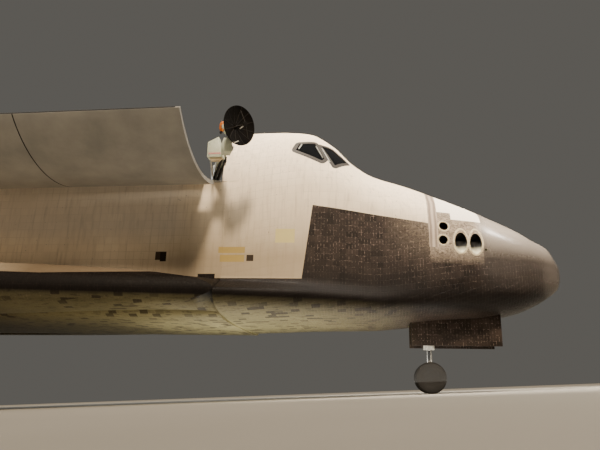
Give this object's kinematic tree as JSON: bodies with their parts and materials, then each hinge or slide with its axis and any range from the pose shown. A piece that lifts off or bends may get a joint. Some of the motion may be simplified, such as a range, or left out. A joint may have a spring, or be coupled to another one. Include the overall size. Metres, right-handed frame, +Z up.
{
  "type": "space shuttle orbiter",
  "caption": "Winged space shuttle on its landing gear with open payload bay doors, radiators, a swung-out dish antenna, elevons, split rudder, body flap and rocket engine bells.",
  "frame": {"origin": "middle of the bounding box's bottom, on the floor under the wheels", "axes": "+X forward, +Y to port, +Z up; the airframe stands 3.2 degrees nose down on its gear, as it parks"},
  "size_m": [36.4456, 23.7916, 17.2121],
  "materials": {
    "white_blanket": "quilted white insulation blanket and white tile",
    "black_tile": "matt black ceramic tile",
    "grey_carbon": "grey carbon panel",
    "glass": "dark cabin glass",
    "cabin_grey": "grey cabin paint",
    "radiator_silver": "silvered panel",
    "dish_black": "black dish surface",
    "nozzle_metal": "heat-browned metal",
    "steel": "bare metal",
    "tyre": "black rubber",
    "box_white": "white paint",
    "gear_white": "white gear paint"
  },
  "bodies": {
    "airframe": {"nose_cap": "grey_carbon", "forward_fuselage": "white_blanket", "forward_thruster_module": "white_blanket", "window_side_left": "glass", "window_side_right": "glass", "window_corner_left": "glass", "window_corner_right": "glass", "window_front_left": "glass", "window_front_right": "glass", "flight_deck": "cabin_grey", "mid_fuselage": "white_blanket", "aft_fuselage": "white_blanket", "wing_left": "white_blanket", "wing_leading_edge_left": "grey_carbon", "wing_right": "white_blanket", "wing_leading_edge_right": "grey_carbon", "vertical_fin": "white_blanket", "drag_chute_housing": "white_blanket", "pod_left": "white_blanket", "pod_right": "white_blanket", "pod_engine_left": "nozzle_metal", "pod_engine_right": "nozzle_metal", "nose_gear_leg": "gear_white", "main_gear_leg_left": "gear_white", "main_gear_leg_right": "gear_white", "main_gear_door_left": "black_tile", "main_gear_door_right": "black_tile", "nose_gear_door_left": "black_tile", "nose_gear_door_right": "black_tile"},
    "side_hatch": {"side_hatch": "white_blanket"},
    "bay_door_left": {"bay_door_left": "white_blanket", "radiator_aft_left": "radiator_silver"},
    "bay_door_right": {"bay_door_right": "white_blanket", "radiator_aft_right": "radiator_silver"},
    "radiator_left": {"radiator_forward_left": "radiator_silver"},
    "radiator_right": {"radiator_forward_right": "radiator_silver"},
    "antenna_boom": {"antenna_boom": "box_white"},
    "antenna_gimbal": {"antenna_gimbal": "box_white"},
    "antenna_dish": {"antenna_dish": "dish_black"},
    "elevon_inboard_left": {"elevon_inboard_left": "black_tile"},
    "elevon_outboard_left": {"elevon_outboard_left": "black_tile"},
    "elevon_inboard_right": {"elevon_inboard_right": "black_tile"},
    "elevon_outboard_right": {"elevon_outboard_right": "black_tile"},
    "body_flap": {"body_flap": "black_tile"},
    "rudder": {"rudder_spindle": "steel"},
    "speedbrake_left": {"speedbrake_left": "black_tile"},
    "speedbrake_right": {"speedbrake_right": "black_tile"},
    "main_engine_upper": {"main_engine_upper": "nozzle_metal"},
    "main_engine_left": {"main_engine_left": "nozzle_metal"},
    "main_engine_right": {"main_engine_right": "nozzle_metal"},
    "nose_steering": {"nose_gear_fork": "gear_white"},
    "nose_wheels": {"nose_wheels": "tyre"},
    "main_wheels_left": {"main_wheels_left": "tyre"},
    "main_wheels_right": {"main_wheels_right": "tyre"}
  },
  "joints": [
    {"name": "bay_door_left_hinge", "type": "hinge", "parent": "airframe", "child": "bay_door_left", "pos_m": [0.28075, 2.6289, 5.9632], "axis": [-0.9984, 0, 0.0558], "range_deg": [-134, 41.5]},
    {"name": "bay_door_right_hinge", "type": "hinge", "parent": "airframe", "child": "bay_door_right", "pos_m": [0.28075, -2.6289, 5.9632], "axis": [0.9984, 0, -0.0558], "range_deg": [-134, 41.5]},
    {"name": "radiator_left_hinge", "type": "hinge", "parent": "bay_door_left", "child": "radiator_left", "pos_m": [4.58419, 3.36513, 5.58224], "axis": [0.9984, 0, -0.0558], "range_deg": [0, 35.5]},
    {"name": "radiator_right_hinge", "type": "hinge", "parent": "bay_door_right", "child": "radiator_right", "pos_m": [4.58419, -3.36513, 5.58224], "axis": [-0.9984, 0, 0.0558], "range_deg": [0, 35.5]},
    {"name": "antenna_swing", "type": "hinge", "parent": "airframe", "child": "antenna_boom", "pos_m": [9.17929, -2.2352, 5.86772], "axis": [0.0558, 0, 0.9984], "range_deg": [-135, 0]},
    {"name": "antenna_azimuth", "type": "hinge", "parent": "antenna_boom", "child": "antenna_gimbal", "pos_m": [10.06688, -4.29271, 6.09794], "axis": [0.0558, 0, 0.9984], "range_deg": [-40, 40]},
    {"name": "antenna_elevation", "type": "hinge", "parent": "antenna_gimbal", "child": "antenna_dish", "pos_m": [10.06688, -4.29271, 6.09794], "axis": [-0.5727, -0.8192, 0.032], "range_deg": [-15, 40]},
    {"name": "elevon_inboard_left_hinge", "type": "hinge", "parent": "airframe", "child": "elevon_inboard_left", "pos_m": [-10.97237, 5.3848, 3.53059], "axis": [0.0023, 0.9992, 0.0404], "range_deg": [-20, 35]},
    {"name": "elevon_outboard_left_hinge", "type": "hinge", "parent": "airframe", "child": "elevon_outboard_left", "pos_m": [-10.96251, 9.8171, 3.70684], "axis": [0.0022, 0.9992, 0.0393], "range_deg": [-20, 35]},
    {"name": "elevon_inboard_right_hinge", "type": "hinge", "parent": "airframe", "child": "elevon_inboard_right", "pos_m": [-10.97237, -5.3848, 3.53059], "axis": [-0.0023, 0.9992, -0.0404], "range_deg": [-20, 35]},
    {"name": "elevon_outboard_right_hinge", "type": "hinge", "parent": "airframe", "child": "elevon_outboard_right", "pos_m": [-10.96251, -9.8171, 3.70684], "axis": [-0.0022, 0.9992, -0.0393], "range_deg": [-20, 35]},
    {"name": "body_flap_hinge", "type": "hinge", "parent": "airframe", "child": "body_flap", "pos_m": [-14.6283, 0, 3.66245], "axis": [0, 1, 0], "range_deg": [-22.55, 11.7]},
    {"name": "rudder_hinge", "type": "hinge", "parent": "airframe", "child": "rudder", "pos_m": [-15.2133, 0, 14.09997], "axis": [-0.5244, 0, 0.8514], "range_deg": [-27.1, 27.1]},
    {"name": "speedbrake_left_hinge", "type": "hinge", "parent": "rudder", "child": "speedbrake_left", "pos_m": [-15.2133, 0, 14.09997], "axis": [0.5244, 0, -0.8514], "range_deg": [0, 49.3]},
    {"name": "speedbrake_right_hinge", "type": "hinge", "parent": "rudder", "child": "speedbrake_right", "pos_m": [-15.2133, 0, 14.09997], "axis": [-0.5244, 0, 0.8514], "range_deg": [0, 49.3]},
    {"name": "main_engine_upper_pitch", "type": "hinge", "parent": "airframe", "child": "main_engine_upper", "pos_m": [-12.23608, 0, 7.31924], "axis": [0, 1, 0], "range_deg": [-10.5, 10.5]},
    {"name": "main_engine_left_pitch", "type": "hinge", "parent": "airframe", "child": "main_engine_left", "pos_m": [-12.95745, 1.3462, 4.88174], "axis": [0, 1, 0], "range_deg": [-10.5, 10.5]},
    {"name": "main_engine_right_pitch", "type": "hinge", "parent": "airframe", "child": "main_engine_right", "pos_m": [-12.95745, -1.3462, 4.88174], "axis": [0, 1, 0], "range_deg": [-10.5, 10.5]},
    {"name": "side_hatch_hinge", "type": "hinge", "parent": "airframe", "child": "side_hatch", "pos_m": [11.37309, 2.61366, 3.24437], "axis": [-0.9984, 0, 0.0558], "range_deg": [0, 90]},
    {"name": "nose_gear_steering", "type": "hinge", "parent": "airframe", "child": "nose_steering", "pos_m": [14.55412, 0, 0.98813], "axis": [0.0558, 0, 0.9984], "range_deg": [-10, 10]},
    {"name": "nose_wheels_spin", "type": "hinge", "parent": "nose_steering", "child": "nose_wheels", "pos_m": [14.52141, 0, 0.40292], "axis": [0, 1, 0], "continuous": true},
    {"name": "main_wheels_left_spin", "type": "hinge", "parent": "airframe", "child": "main_wheels_left", "pos_m": [-5.71976, 3.4544, 0.56032], "axis": [0, 1, 0], "continuous": true},
    {"name": "main_wheels_right_spin", "type": "hinge", "parent": "airframe", "child": "main_wheels_right", "pos_m": [-5.71976, -3.4544, 0.56032], "axis": [0, 1, 0], "continuous": true}
  ]
}
